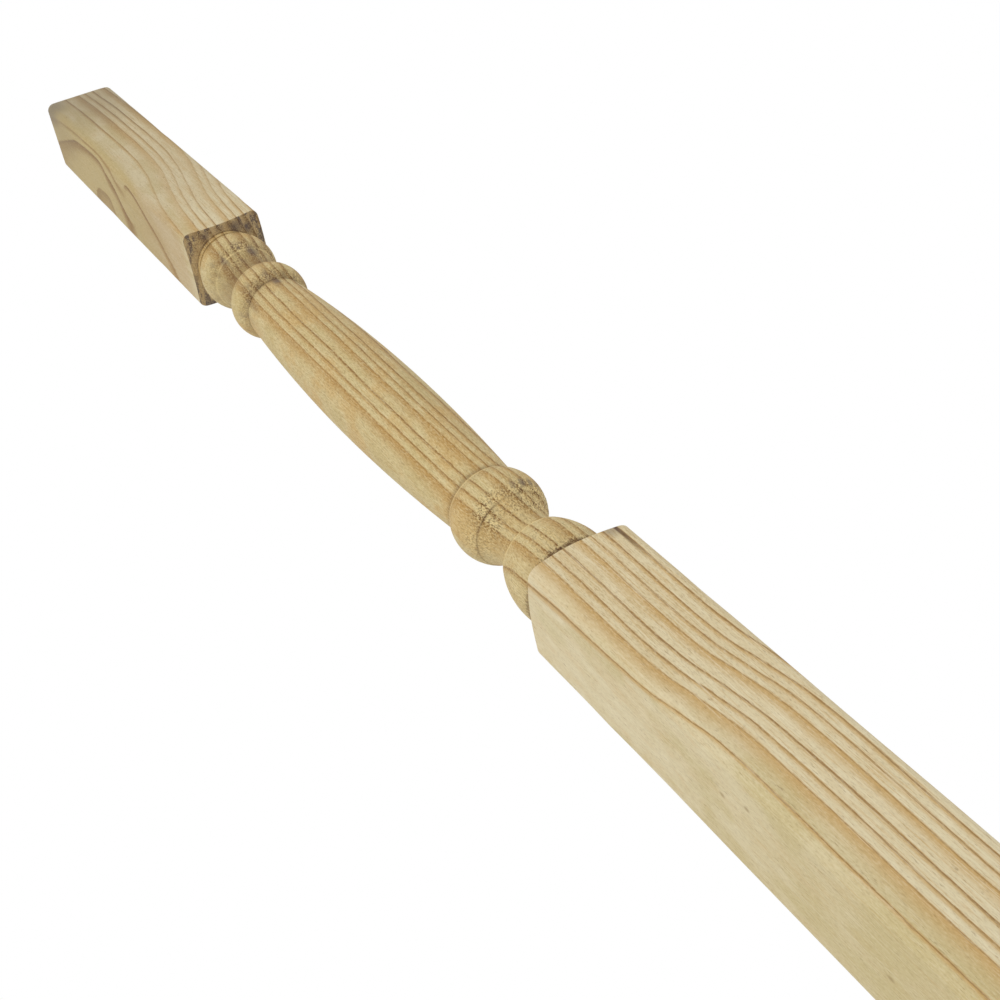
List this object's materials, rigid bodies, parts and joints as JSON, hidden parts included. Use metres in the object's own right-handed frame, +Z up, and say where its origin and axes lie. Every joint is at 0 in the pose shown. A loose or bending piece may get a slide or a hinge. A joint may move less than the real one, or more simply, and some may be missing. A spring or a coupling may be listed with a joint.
{
  "type": "stair baluster",
  "caption": "Slender wooden stair baluster with square end blocks and a turned middle of beads, a cove, a long vase and a ball.",
  "frame": {"origin": "centre of the bottom end", "axes": "+Z up along the stick's axis, +X and +Y square to the block faces"},
  "size_m": [0.0334, 0.0334, 0.8128],
  "materials": {
    "pine": "bare planed and turned softwood, matte"
  },
  "bodies": {
    "root": {"baluster": "pine"}
  },
  "joints": []
}
